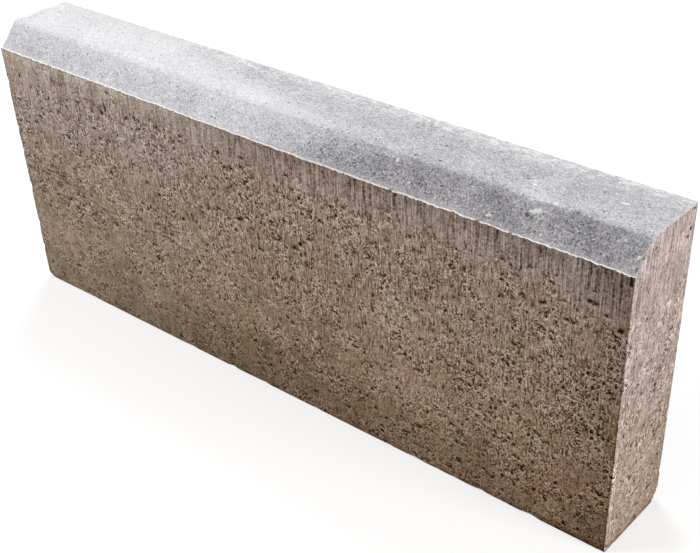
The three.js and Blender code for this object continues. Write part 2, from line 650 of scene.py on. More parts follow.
split(bm, edges_near_tears(bm, tears, 0.9 * MM))
in_view = (SIDES["front"][1], SIDES["right"][1])
fine_tears = [mark for mark in tears if mark["across"] in in_view]
split(bm, edges_near_tears(bm, fine_tears, 0.3 * MM))
split(bm, edges_on_front_arrises(bm, 2.6 * MM))
split(bm, [edge for edge in edges_on_front_arrises(bm, 1.5 * MM) if is_by_lip(edge)])
report_on("refined")

# %% [markdown]
# ## Sculpting
#
# Now each vertex is moved a little, as a sculptor's brush would move it. The moves are added
# up first and made at the end, so one never disturbs where the next is measured. Two marks
# are painted on the way: "hollow" for the depth of a hole, which the finish of the sides
# turns into painted shade, and "scuff_and_rim_light" for rubbed arrises and the pale lip,
# and for the painted highlight on the lower rims of tears.

# %% Start the moves and the painted marks
bm.verts.ensure_lookup_table()
bm.normal_update()
vertex_tree = kdtree.KDTree(len(bm.verts))
for index, vertex in enumerate(bm.verts):
    vertex_tree.insert(vertex.co, index)
vertex_tree.balance()
moves = [Vector() for vertex in bm.verts]
hollow = [0.0] * len(bm.verts)
scuff_and_rim_light = [0.0] * len(bm.verts)
for face in bm.faces:
    is_pressed = face.normal.z > 0.3 and face.calc_center_median().z > LEDGE_Z - 0.1 * MM
    face.material_index = 1 if is_pressed else 0


def ragged(place, size, seed):
    return noise.noise(place / size + Vector((seed, seed * 0.7, -seed)))


def eased(value):
    value = min(max(value, 0), 1)
    return value * value * (3 - 2 * value)


# %% [markdown]
# ### Cutting the tears
#
# A tear's rim is a line that sags a little to both sides and wanders. Just above the rim the
# hollow is deepest, and from there it runs out upwards. A strip below the rim is marked pale
# as a painted highlight: the lower lip that light from above would catch.


# %% Cut the tears
RIM = 0.35 * MM


def cut_tear(mark):
    for place, index, distance in vertex_tree.find_range(mark["at"], radius_of(mark) * 1.3):
        away = place - mark["at"]
        sideways = away.dot(mark["across"]) / (mark["width"] / 2)
        sideways += 0.7 * ragged(place, 1.3 * MM, 4)
        if abs(sideways) >= 1:
            continue
        rim = -0.12 * mark["reach"] * sideways**2 + 1.3 * MM * ragged(place, 1.6 * MM, 2)
        above = away.z - rim
        # Painted highlight: the strip below the rim is marked pale, as its lower lip would be lit.
        if -4 * RIM < above < -0.5 * RIM:
            rubbed_and_lit = (0.5 + 0.7 * ragged(place, 0.9 * MM, 3)) * mark["depth"] / MM
            scuff_and_rim_light[index] = max(scuff_and_rim_light[index], rubbed_and_lit * (1 - sideways**4))
        if above < -RIM or above > mark["reach"]:
            continue
        fall = eased((above + RIM) / RIM) * (1 - max(above, 0) / mark["reach"]) ** 0.8
        depth = mark["depth"] * fall * (1 - sideways**4)
        moves[index] += mark["inward"] * depth
        hollow[index] = max(hollow[index], depth / MM)


for mark in tears:
    cut_tear(mark)
print("deepest hole, mm:", round(max(hollow), 2))

# %% [markdown]
# ### Unevenness and drag
#
# No pressed face is quite flat. A slow swell runs over everything, and the sides carry the
# drag of the steel as upright furrows. The skin only ever moves inwards, so the casting stays
# inside the mould's planes.


# %% Roughen the skin
LIP_ROOM = 0.5 * MM
LAY_BACK_HEIGHT = 30 * MM


def is_side(vertex):
    return abs(vertex.normal.z) < 0.35


def swell(place):
    return 0.22 * MM * ragged(place, 70 * MM, 1) + 0.08 * MM * ragged(place, 16 * MM, 6)


def furrow(place):
    stretched = Vector((place.x, place.y, place.z * 0.06))
    return 0.13 * MM * ragged(stretched, 3.4 * MM, 8)


def lay_back(vertex):
    """The front lies back a little under the lip, so that the lip ends in the front's plane."""
    share = 1 - (LEDGE_Z - vertex.co.z) / LAY_BACK_HEIGHT
    return LIP_ROOM * share if vertex.normal.y < -0.9 and share > 0 else 0


for vertex in bm.verts:
    if vertex.co.z < BED + 2 * MM:
        continue
    lift = swell(vertex.co)
    if is_side(vertex):
        lift += furrow(vertex.co) + 0.12 * MM * ragged(vertex.co, 4.2 * MM, 9)
    moves[vertex.index] += vertex.normal * min(lift - 0.1 * MM, 0)
    moves[vertex.index].y += lay_back(vertex)


# %% [markdown]
# ### Worn arrises
#
# The arrises are the weak part of green concrete: grains fall out of them one by one, so their
# line is eaten in and out. A vertex is near an arris when it is close under two of the block's
# planes, so the depth under each plane is measured and the two smallest are looked at.


# %% Eat the arrises
CHAMFER_OUT = Vector((0, -CHAMFER_RISE, CHAMFER_RUN - LEDGE_WIDTH)).normalized()
CHAMFER_FOOT = Vector((0, FRONT + LEDGE_WIDTH, LEDGE_Z))


def depths_under_planes(place):
    chamfer = (CHAMFER_FOOT - place).dot(CHAMFER_OUT)
    return {
        "ends": min(place.x - LEFT, RIGHT - place.x),
        "front": place.y - FRONT,
        "back": BACK - place.y,
        "bed": place.z - BED,
        "top": TOP - place.z,
        "chamfer": chamfer,
    }


def arris_reach(place):
    grains = 0.5 + ragged(place, 2.2 * MM, 12)
    gaps = max(0, ragged(place, 9 * MM, 14) - 0.12)
    return (0.1 + 0.4 * max(0, grains - 0.4) + 2.2 * gaps) * MM


for vertex in bm.verts:
    near = sorted(depths_under_planes(vertex.co).items(), key=lambda pair: pair[1])
    if {near[0][0], near[1][0]} in ({"top", "chamfer"}, {"front", "chamfer"}):
        continue
    bite = arris_reach(vertex.co) - near[1][1]
    if bite > 0:
        moves[vertex.index] -= vertex.normal * bite * 0.7
        scuff_and_rim_light[vertex.index] = max(scuff_and_rim_light[vertex.index], eased(bite / MM))

# %% [markdown]
# ### The lip
#
# Where the tamper passes the steel, a little grout is squeezed up between them. It stays as a
# thin lip along the ledge, pale and rough, and it is the lightest line on the stone. Its line
# wanders a little, and the skin just below follows it.

# %% Raise the lip
LIP_SKIRT = 6 * MM


def along_lip(along, size, seed):
    return ragged(Vector((along, 0, 0)), size * MM, seed)


def lip_wander(along):
    sag = -1.1 * math.exp(-((along / MM - 40) / 150) ** 2)
    rough = 0.45 + 0.2 * eased((along / MM + 40) / 120)
    return (sag + 0.35 * along_lip(along, 12, 20) + rough * along_lip(along, 3.4, 22)) * MM


def lip_bead(along):
    rough = 0.4 + 0.5 * eased((along / MM + 40) / 120)
    return max(0, 0.5 + 0.35 * along_lip(along, 4.5, 24) + rough * along_lip(along, 1.3, 26)) * MM


for vertex in bm.verts:
    place = vertex.co
    drop = LEDGE_Z - place.z
    if place.y > FRONT + LEDGE_WIDTH + 0.05 * MM or not -0.05 * MM < drop < LIP_SKIRT:
        continue
    moves[vertex.index].z += lip_wander(place.x) * (1 - drop / LIP_SKIRT)
    if drop < 0.05 * MM:
        inner = (place.y - FRONT) / LEDGE_WIDTH
        moves[vertex.index].y += max(LIP_ROOM - lip_bead(place.x), 0) * (1 - inner)
        moves[vertex.index].z += lip_bead(place.x) * (1 - 0.5 * inner)
        rubbed_and_lit = 0.75 + 0.6 * along_lip(place.x, 2.4, 28)
        rubbed_and_lit += 0.3 * along_lip(place.x, 0.9, 29)
        scuff_and_rim_light[vertex.index] = min(1, rubbed_and_lit)

# %% [markdown]
# ### Scars in the lip
#
# Here and there a bit of the lip came away with the steel and left a dark scar that reaches up
# to the chamfer. Each scar is where it lies along the lip, how wide it is, how far down it
# reaches and what share of the lip's width is lost there.

# %% Take bits out of the lip
SCARS = [
    (-9, 2.0, 1.0, 0.4),
    (36.5, 1.6, 0.8, 0.4),
    (63.4, 1.8, 1.2, 0.6),
    (70.4, 1.2, 0.8, 0.4),
    (97.2, 3.2, 2.0, 0.9),
    (119.3, 1.6, 1.2, 0.5),
    (129.5, 1.2, 0.8, 0.3),
    (143.4, 1.4, 1.2, 0.5),
    (148.2, 2.2, 0.8, 0.4),
    (155.9, 3.0, 2.6, 0.9),
    (165.7, 2.4, 1.4, 0.7),
    (176.6, 2.2, 2.2, 0.9),
    (184.6, 1.2, 0.8, 0.4),
    (196.0, 1.4, 1.0, 0.5),
    (231, 1.6, 1.0, 0.5),
]


def cut_scar(middle, width, depth, lost):
    place = Vector((middle * MM, FRONT, LEDGE_Z))
    for found, index, distance in vertex_tree.find_range(place, max(width, depth) * MM):
        share = 1 - (2 * (found.x - place.x) / (width * MM)) ** 2
        share -= 0.6 * max(0, ragged(found, 0.9 * MM, 36))
        drop = place.z - found.z
        if share < 0 or drop > depth * MM * share or found.y > FRONT + LEDGE_WIDTH + 0.05 * MM:
            continue
        room = (FRONT + LEDGE_WIDTH - found.y) * lost * eased(2.5 * share)
        moves[index] = Vector((0, max(room, moves[index].y), lip_wander(found.x) + 0.3 * MM))
        # Painted shade: the scar's depth darkens it in the finish of the sides.
        hollow[index] = 0.35 * lost
        scuff_and_rim_light[index] *= 1 - lost


for scar in SCARS:
    cut_scar(*scar)
print("scars in the lip:", len(SCARS))

# %% [markdown]
# ### Chips and broken corners
#
# Handling knocks small chips out of an upright arris, and whole corners off a kerb's foot. A
# chip is a shallow bite across the arris. A broken corner is a plane through three points, one
# on each edge that meets there, and all that lies outside it is pushed back onto it.

# %% Chip the left-hand arris and break the two corners
# Each chip is how high up it lies, how long it is and how deep.
LEFT_CHIPS = [(160, 8, 0.9), (144, 6, 0.6), (125, 9, 0.8), (108, 7, 0.9), (78, 10, 1.1)]


def chip_left_arris(height, length, depth):
    middle = Vector((LEFT, FRONT, height * MM))
    for place, index, distance in vertex_tree.find_range(middle, length * MM):
        along = (place.z - middle.z) / (length * MM / 2)
        if abs(along) > 1:
            continue
        out = math.hypot(place.x - LEFT, place.y - FRONT)
        bite = depth * MM * (1 - along**2) * (1 + 0.5 * ragged(place, 1.5 * MM, 30)) - 0.6 * out
        if bite > 0:
            moves[index] += Vector((1, 0.7, 0)) * bite
            scuff_and_rim_light[index] = 0.3


for chip in LEFT_CHIPS:
    chip_left_arris(*chip)


def break_corner(corner, inward, reach):
    tips = [Vector(corner) for axis in range(3)]
    for axis in range(3):
        tips[axis][axis] += inward[axis] * reach[axis] * MM
    cut = (tips[1] - tips[0]).cross(tips[2] - tips[0]).normalized()
    if cut.dot(Vector(inward)) > 0:
        cut = -cut
    for place, index, distance in vertex_tree.find_range(Vector(corner), 2 * max(reach) * MM):
        out = (place - tips[0]).dot(cut) + 0.5 * MM * ragged(place, 2.4 * MM, 40)
        if out > 0:
            moves[index] = -cut * out
            # Painted shade: the broken face is darkened in the finish of the sides.
            hollow[index] = 0.15


break_corner((RIGHT, BACK, BED), inward=(-1, -1, 1), reach=(5, 6, 10))
break_corner((LEFT, FRONT, BED), inward=(1, 1, 1), reach=(6.5, 2.5, 4))

# %% [markdown]
# ### Making the moves
#
# The two painted marks become attributes of the mesh, which the finishes read later. Then all
# the moves are made at once.

# %% Make the moves and keep the marks
painted_marks = {"hollow": hollow, "scuff_and_rim_light": scuff_and_rim_light}
for name, values in painted_marks.items():
    layer = bm.verts.layers.float.new(name)
    for vertex in bm.verts:
        vertex[layer] = values[vertex.index]
for vertex in bm.verts:
    vertex.co += moves[vertex.index]

# %% [markdown]
# ## From bmesh to object
#
# The head and the sides get different finishes. Each face was given one of two material slots
# before the sculpting, while it still looked the way it was pressed. Edges that turn sharply
# stay crisp, and the rest shade as one skin.

# %% Turn the casting into an object
CRISP = math.radians(38)
bm.normal_update()
for face in bm.faces:
    face.smooth = True
for edge in bm.edges:
    edge.smooth = edge.calc_face_angle(0) < CRISP

kerb_mesh = bpy.data.meshes.new("kerb_stone_cast")
bm.to_mesh(kerb_mesh)
bm.free()
kerb = bpy.data.objects.new("kerb_stone_cast", kerb_mesh)
bpy.context.scene.collection.objects.link(kerb)
print("casting:", len(kerb_mesh.vertices), "vertices,", len(kerb_mesh.polygons), "faces")

# %% [markdown]
# ## Stone grain
#
# Both finishes are the same concrete, so they share one set of patterns. All of them read the
# object's own coordinates, turned into millimetres, so that a pattern's size can be compared
# with a ruler held against the stone, and nothing slides when the stone is turned.


# %% Patterns in millimetres
def object_place(tree):
    return node(tree, "TexCoord").outputs["Object"]


def millimetres(tree, stretch=(1, 1, 1), shift=(0, 0, 0)):
    mapping = node(tree, "Mapping", Vector=object_place(tree))
    mapping.inputs["Scale"].default_value = [1000 / each for each in stretch]
    mapping.inputs["Location"].default_value = shift
    return mapping.outputs[0]


def ruler(tree, axis):
    parts = node(tree, "SeparateXYZ", Vector=object_place(tree)).outputs
    return maths(tree, "MULTIPLY", parts[axis], 1000)


def cloud(tree, place, size, detail=2, roughness=0.5):
    """A noise round 0, spread about 1 either way, with lumps about size millimetres across."""
    made = node(tree, "TexNoise", Vector=place, Scale=1 / size, Detail=detail, Roughness=roughness)
    shares = [roughness**i for i in range(int(detail) + 1)]
    spread = 0.14 * math.hypot(*shares) / sum(shares)
    return maths(tree, "MULTIPLY_ADD", made.outputs["Fac"], 1 / spread, -0.5 / spread)


def sum_of(tree, *weighted):
    total = 0.0
    for value, weight in weighted:
        total = maths(tree, "MULTIPLY_ADD", value, weight, total)
    return total


def times(tree, *values):
    total = values[0]
    for value in values[1:]:
        total = maths(tree, "MULTIPLY", total, value)
    return total


def without(tree, value):
    return maths(tree, "SUBTRACT", 1.0, value)


def painted(tree, name):
    return node(tree, "Attribute", {"attribute_name": name}).outputs["Fac"]


# %% [markdown]
# ### Small tears in the shader
#
# The arches that are cut into the mesh have thousands of smaller brothers. A Voronoi pattern
# scatters cells, and its Position output says where each cell's middle is. The way from that
# middle to the point being shaded draws one little arch in each cell: nothing below its rim,
# deep just above, and running out upwards. The cell's random colour picks which cells tear.


# %% Draw arches with Voronoi cells
def arches(tree, place, size, share, seed):
    shifted = vector_maths(tree, "ADD", place, (seed, seed * 2, seed * 3))
    cells = node(tree, "TexVoronoi", Vector=shifted, Scale=1 / size)
    away = vector_maths(tree, "SUBTRACT", shifted, cells.outputs["Position"])
    parts = node(tree, "SeparateXYZ", Vector=away).outputs
    squares = [(times(tree, parts[axis], parts[axis]), 1.0) for axis in "XY"]
    sideways = maths(tree, "SQRT", sum_of(tree, *squares))
    across = maths(tree, "DIVIDE", sideways, size * 0.48)
    drop = times(tree, across, across, size * 0.3)
    above = maths(tree, "ADD", parts["Z"], drop)
    edge = ramp_between(tree, above, -0.05 * size, 0.04 * size)
    fade = ramp_between(tree, above, 0.0, 0.4 * size, 1.0, 0.0, smooth=False)
    sides = ramp_between(tree, across, 0.6, 1.0, 1.0, 0.0)
    plate = ramp_between(tree, above, -0.3 * size, -0.02 * size)
    plate = times(tree, plate, without(tree, edge), sides)
    dice = node(tree, "SeparateColor", Color=cells.outputs["Color"]).outputs
    torn = maths(tree, "LESS_THAN", dice["Red"], share)
    torn = times(tree, torn, ramp_between(tree, dice["Green"], 0.0, 1.0, 0.45, 1.0, smooth=False))
    return times(tree, edge, fade, sides, torn), times(tree, plate, torn)


# %% [markdown]
# ### Pits with lit rims
#
# Between the arches the skin is pitted all over. A noise pushed through a steep ramp leaves
# ragged holes with crisp edges. The same noise read a little higher up tells where a hole lies
# just above, and there the lower rim of that hole catches the light.


# %% Draw pits
def pits(tree, place, size, drop, start, end):
    here = cloud(tree, place, size, 2, 0.75)
    higher = cloud(tree, vector_maths(tree, "ADD", place, (0, 0, drop)), size, 2, 0.75)
    hole = ramp_between(tree, here, start, end)
    hole_above = ramp_between(tree, higher, start, end)
    rim = maths(tree, "MAXIMUM", maths(tree, "SUBTRACT", hole_above, hole), 0.0)
    return hole, rim


# %% [markdown]
# ### Round pits
#
# Where a grain of sand fell out, it left a round hole. A Voronoi pattern scatters these too:
# one disc round the middle of some cells, and the same disc a little lower for the lit rim.


# %% Draw single pits
def dots(tree, place, size, share, widest=0.42):
    """Round pits with lit lower rims, at most one in a cell. Share says how many cells have one."""
    cells = node(tree, "TexVoronoi", Vector=place, Scale=1 / size)
    away = vector_maths(tree, "SUBTRACT", place, cells.outputs["Position"])
    dice = node(tree, "SeparateColor", Color=cells.outputs["Color"]).outputs
    largest = widest * size
    radius = ramp_between(tree, dice["Green"], 0.0, 1.0, 0.4 * largest, largest, smooth=False)
    torn = maths(tree, "LESS_THAN", dice["Red"], share)
    holes = []
    for drop in (0.0, 0.26 * size):
        distance = length_of(tree, vector_maths(tree, "ADD", away, (0, 0, drop)))
        radii_out = maths(tree, "DIVIDE", distance, radius)
        holes.append(ramp_between(tree, radii_out, 0.75, 1.15, 1.0, 0.0))
    rim = maths(tree, "MAXIMUM", maths(tree, "SUBTRACT", holes[1], holes[0]), 0.0)
    return times(tree, holes[0], torn), times(tree, rim, torn)


# %% [markdown]
# ### Bark and crumbs
#
# Dragged skin looks like bark: each small lump gets painted light above and painted shade below,
# as if lit from above. The same noise is read at two places a short step apart, and the
# difference gives just that. Between the lumps the skin is broken into crumbs, each with a tone
# of its own.


# %% Draw the painted light and shade of bark
def lit_from_above(tree, place, size, step):
    here = cloud(tree, place, size, 1, 0.8)
    higher = cloud(tree, vector_maths(tree, "ADD", place, step), size, 1, 0.8)
    return maths(tree, "SUBTRACT", here, higher)


# %% Break the skin into crumbs
def crumbs(tree, place, size):
    """Small plates, each of one tone between -1 and 1, with crisp borders."""
    cells = node(tree, "TexVoronoi", Vector=place, Scale=1 / size)
    dice = node(tree, "SeparateColor", Color=cells.outputs["Color"]).outputs
    return maths(tree, "MULTIPLY_ADD", dice["Blue"], 2.0, -1.0)


# %% [markdown]
# ## The dragged sides
#
# Warm brown-grey, because the cement paste here is rubbed thin and the sand shows. The skin is
# told by two zones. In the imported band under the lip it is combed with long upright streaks.
# Below that it is looser: short streaks, pits, arches and pale flakes. The two ends came off
# smoother steel, so their pattern is weaker and their colour pinker.


# %% Tell the zones of the sides
def side_zones(tree):
    along = ruler(tree, "X")
    height = ruler(tree, "Z")
    band_foot = ramp_between(tree, along, 200.0, 232.0, 165.5, 156.0)
    far_left = ramp_between(tree, along, -225.0, -195.0, 0.0, 9.0)
    not_middle = ramp_between(tree, along, -120.0, -40.0, 1.0, 0.0)
    band_foot = maths(tree, "ADD", band_foot, times(tree, far_left, not_middle))
    frayed = cloud(tree, millimetres(tree, (1, 1, 3)), 9, 1)
    band_foot = maths(tree, "MULTIPLY_ADD", frayed, 2.8, band_foot)
    packed = ramp_between(tree, maths(tree, "SUBTRACT", height, band_foot), -3.0, 4.0)
    ends = ramp_between(tree, maths(tree, "ABSOLUTE", along), 249.15, 249.5)
    dryness = cloud(tree, millimetres(tree, (1.3, 1, 1)), 12.0, 2, 0.7)
    loose = without(tree, packed)
    from_waist = maths(tree, "ABSOLUTE", maths(tree, "SUBTRACT", height, 92.0))
    return {
        "packed": packed,
        "loose": loose,
        "left": ramp_between(tree, along, -130.0, -10.0, 1.0, 0.0),
        "right": ramp_between(tree, along, 20.0, 160.0),
        "crumbly": times(tree, loose, ramp_between(tree, dryness, -1.0, 1.4, 0.15, 1.45)),
        "combed": ramp_between(tree, along, -60.0, 110.0, 0.55, 0.85),
        "dragged": ramp_between(tree, height, 25.0, 120.0, 0.15, 1.0),
        "waist": ramp_between(tree, from_waist, 5.0, 30.0, 1.0, 0.0),
        "ends": ends,
        "along": along,
        "height": height,
    }


# %% [markdown]
# ### The patterns of the sides
#
# Every mark on the sides is drawn once here and kept under its own name. A pattern that is
# stretched upwards, such as the streaks and the drags, gets it from the Mapping node, which
# squeezes the height before the noise reads it. Each is then faded by the zones it belongs to.


# %% Draw the patterns of the sides
def side_patterns(tree, zone):
    place = millimetres(tree)
    jitter = node(tree, "TexNoise", Vector=place, Scale=0.6, Detail=2.0).outputs["Color"]
    jitter = vector_maths(tree, "MULTIPLY_ADD", jitter, (3.0, 3.0, 2.4), (-1.5, -1.5, -1.2))
    bent = vector_maths(tree, "ADD", place, jitter)
    hole, plate = arches(tree, bent, 6.5, 0.3, 3.0)
    pit, rim = pits(tree, millimetres(tree, (1, 1, 1.4)), 1.8, 0.7, 0.95, 1.2)
    lit_bark = lit_from_above(tree, millimetres(tree, (1, 1, 1.8)), 1.5, (0.12, 0, 0.45))
    chain = cloud(tree, millimetres(tree, (1, 1, 5)), 2.6, 1, 0.6)
    chain = ramp_between(tree, chain, -0.9, 0.9, 0.3, 1.5)
    worn = times(tree, zone["crumbly"], chain)
    pit_share = times(tree, worn, ramp_between(tree, zone["left"], 0.0, 1.0, 0.6, 0.4))
    pit_share = maths(tree, "MAXIMUM", pit_share, times(tree, zone["ends"], 0.35))
    cave_place = vector_maths(tree, "ADD", bent, (70, 0, 0))
    cave, cave_rim = dots(tree, cave_place, 6.0, times(tree, worn, 0.22), 0.36)
    dot_place = vector_maths(tree, "DIVIDE", bent, (1.0, 1.0, 1.25))
    dot, dot_rim = dots(tree, dot_place, 3.3, pit_share)
    streak = cloud(tree, millimetres(tree, (1, 1, 16)), 1.2, 1, 0.8)
    groove = ramp_between(tree, cloud(tree, millimetres(tree, (1, 1, 9)), 2.0, 1, 0.6), 0.4, 1.3)
    groove = times(tree, groove, ramp_between(tree, zone["height"], 168.0, 181.0, 0.1, 1.0))
    groove = times(tree, groove, ramp_between(tree, zone["along"], 0.0, 150.0, 0.55, 1.0))
    drag = cloud(tree, millimetres(tree, (1, 1, 6)), 1.2, 1, 0.7)
    smear = cloud(tree, millimetres(tree, (1, 1, 5)), 3.6, 2, 0.7)
    ripple = cloud(tree, millimetres(tree, (5, 1, 1)), 1.7, 1, 0.7)
    ripple = times(tree, ripple, ramp_between(tree, zone["along"], -90.0, -20.0, 1.0, 0.25))
    ridge = cloud(tree, millimetres(tree, (1, 1, 9), (40, 0, 0)), 1.8, 1, 0.6)
    ridge = ramp_between(tree, ridge, 0.7, 1.7)
    scratch = cloud(tree, millimetres(tree, (1, 1, 4)), 1.1, 1, 0.7)
    crumb = crumbs(tree, vector_maths(tree, "DIVIDE", bent, (1.0, 1.0, 1.6)), 1.8)
    flake = ramp_between(tree, cloud(tree, millimetres(tree, (1, 1, 1.6)), 1.5, 1, 0.6), 0.95, 1.4)
    calm = ramp_between(tree, zone["left"], 0.0, 1.0, 1.0, 0.8)
    calm = ramp_between(tree, zone["ends"], 0.0, 1.0, calm, 0.4, smooth=False)
    return {
        "grain": cloud(tree, place, 1.2, 1, 0.8),
        "lumps": cloud(tree, place, 4.0, 1, 0.6),
        "patches": cloud(tree, place, 30.0, 1, 0.7),
        "streaks": times(tree, streak, zone["packed"], zone["combed"]),
        "grooves": times(tree, groove, zone["packed"], zone["combed"]),
        "ridges": times(tree, ridge, zone["packed"], zone["combed"]),
        "drags": times(tree, drag, zone["loose"], zone["dragged"]),
        "smears": times(tree, smear, zone["loose"]),
        "ripples": times(tree, ripple, zone["waist"]),
        "blots": times(tree, cloud(tree, millimetres(tree, (1, 1, 2.2)), 8.0, 2, 0.7), zone["left"]),
        "crumbs": times(tree, crumb, zone["crumbly"]),
        "scratches": times(tree, scratch, zone["loose"]),
        "lit_bark": times(tree, lit_bark, zone["crumbly"]),
        "holes": times(tree, hole, zone["loose"]),
        "plates": times(tree, plate, zone["loose"]),
        "dots": times(tree, dot, ramp_between(tree, zone["ends"], 0.0, 1.0, 1.0, 2.0)),
        "caves": cave,
        "cave_rims": times(tree, cave_rim, calm),
        "dot_rims": times(tree, dot_rim, calm),
        "pits": times(tree, pit, worn),
        "rims": times(tree, rim, worn, calm),
        "flakes": times(tree, flake, zone["crumbly"], calm),
        "mottle": times(tree, cloud(tree, millimetres(tree, (1, 1, 1.6)), 6.0, 3, 0.8), zone["ends"]),
    }


# %% [markdown]
# ### Broad stains
#
# No batch of concrete dries in one tone. Eighteen soft patches, some lighter and some darker,
# lie over the front. Each is where it lies along the stone and up it, how far it reaches and
# how much lighter it is. A slow noise bends them, so that none of them looks round.

# %% Place the broad stains of the front
STAINS = [
    (-222, 162, 24, 0.2),
    (-128, 169, 24, 0.18),
    (-122, 182, 11, -0.22),
    (-48, 180, 30, 0.16),
    (124, 180, 14, 0.14),
    (72, 155, 17, 0.13),
    (221, 153, 18, 0.22),
    (-218, 86, 34, -0.1),
    (-52, 76, 26, 0.12),
    (98, 76, 36, 0.15),
    (170, 76, 16, 0.12),
    (226, 98, 20, -0.24),
    (-208, 37, 34, 0.16),
    (-124, 28, 24, 0.15),
    (26, 29, 19, -0.15),
    (122, 27, 36, 0.17),
    (184, 13, 11, 0.18),
    (224, 14, 12, 0.18),
]


def stains(tree):
    place = millimetres(tree)
    bend = node(tree, "TexNoise", Vector=place, Scale=0.07, Detail=3.0, Roughness=0.7)
    bend = bend.outputs["Color"]
    bend = vector_maths(tree, "MULTIPLY_ADD", bend, (60.0, 60.0, 60.0), (-30.0, -30.0, -30.0))
    bent = vector_maths(tree, "ADD", place, bend)
    total = 0.0
    for along, height, reach, lighter in STAINS:
        away = vector_maths(tree, "SUBTRACT", bent, (along, -30.0, height))
        away = vector_maths(tree, "MULTIPLY", away, (1.0, 0.3, 1.0))
        distance = length_of(tree, away)
        near = ramp_between(tree, distance, 0.3 * reach, 1.5 * reach, lighter, 0.0)
        total = maths(tree, "ADD", near, total)
    return total


# %% [markdown]
# ### From patterns to relief and tone
#
# The same patterns are summed twice: once as heights for the bump, and once as a tone with
# painted shade in the holes and painted highlights on their lower rims and on the plates below
# the arches, as light from above would leave them.


# %% Sum the relief and the tone of the sides
MIDDLE_TONE = 1.13
DARKEST_TONE = 0.14
LIGHTEST_TONE = 2.4


def side_relief(tree, seen):
    return sum_of(
        tree,
        (seen["lumps"], 0.1),
        (seen["streaks"], 0.06),
        (seen["grooves"], -0.2),
        (seen["holes"], -0.8),
        (seen["plates"], 0.3),
        (seen["crumbs"], 0.25),
        (seen["dots"], -0.5),
        (seen["caves"], -0.8),
        (seen["pits"], -0.4),
    )


def side_tone(tree, seen, zone):
    # Holes, caves, dots and pits carry painted shade; their rims, the plates and the bark carry painted
    # highlights.
    fine = sum_of(
        tree,
        (seen["grain"], 0.24),
        (seen["streaks"], 0.33),
        (seen["grooves"], -0.38),
        (seen["ridges"], 0.32),
        (seen["drags"], 0.27),
        (seen["scratches"], 0.12),
        (seen["lit_bark"], 0.2),
        (seen["crumbs"], 0.32),
        (seen["holes"], -0.8),
        (seen["plates"], 0.55),
        (seen["caves"], -0.95),
        (seen["cave_rims"], 1.3),
        (seen["dots"], -0.8),
        (seen["dot_rims"], 1.6),
        (seen["pits"], -0.6),
        (seen["rims"], 2.0),
        (seen["flakes"], 1.6),
    )
    low_right = times(tree, zone["right"], ramp_between(tree, zone["height"], 130.0, 90.0))
    low_left = times(tree, zone["left"], ramp_between(tree, zone["height"], 60.0, 25.0))
    contrast = times(
        tree,
        ramp_between(tree, zone["along"], -200.0, 100.0, 0.85, 1.1),
        maths(tree, "MULTIPLY_ADD", low_right, 0.25, 1.0),
        maths(tree, "MULTIPLY_ADD", low_left, -0.25, 1.0),
        ramp_between(tree, zone["ends"], 0.0, 1.0, 1.0, 0.65),
    )
    # Painted shade: tears, scars and broken corners cut into the mesh are darkened by their painted
    # depth.
    depth = painted(tree, "hollow")
    torn = ramp_between(tree, sum_of(tree, (depth, 1.0), (seen["grain"], 0.24)), 0.2, 0.7)
    torn = times(tree, torn, ramp_between(tree, depth, 0.0, 0.12))
    broad = sum_of(
        tree,
        (seen["lumps"], 0.05),
        (seen["patches"], 0.04),
        (seen["smears"], 0.06),
        (zone["crumbly"], 0.07),
        (seen["ripples"], 0.2),
        (seen["blots"], 0.07),
        (seen["mottle"], 0.07),
        (stains(tree), 1.0),
        (torn, -1.1),
    )
    tone = maths(tree, "ADD", maths(tree, "MULTIPLY_ADD", fine, contrast, broad), MIDDLE_TONE)
    return maths(tree, "MINIMUM", maths(tree, "MAXIMUM", tone, DARKEST_TONE), LIGHTEST_TONE)


# %% [markdown]
# ### The colour of the sides
#
# Clay and iron in the sand drift through the stone as faint yellow and red patches. Under the
# lip the left half is pale with grout, and the right half is darker. The foot stood in the wet.


# %% Mix the colour of the sides
FRONT_FOOT = (0.432, 0.286, 0.190, 1)
FRONT_TOP = (0.487, 0.352, 0.274, 1)
YELLOW_SAND = (0.42, 0.315, 0.185, 1)
RED_SAND = (0.45, 0.28, 0.21, 1)
GROUT_RIGHT = (0.473, 0.36, 0.295, 1)
GROUT_LEFT = (0.50, 0.380, 0.286, 1)
WET_RIGHT = (0.76, 0.76, 0.72, 1)
WET_LEFT = (0.76, 0.77, 0.76, 1)
RUST_TINT = (1.04, 0.965, 0.93, 1)
CORNER_TINT = (1.04, 0.99, 0.99, 1)
COOL_TINT = (0.975, 1.0, 1.03, 1)
LEFT_TINT = (0.965, 1.0, 1.035, 1)
END_FOOT = (0.53, 0.395, 0.308, 1)
END_TOP = (0.54, 0.430, 0.398, 1)
COOLER_DRIFT = (0.995, 0.995, 1.02, 1)
WARMER_DRIFT = (1.005, 1.0, 0.97, 1)


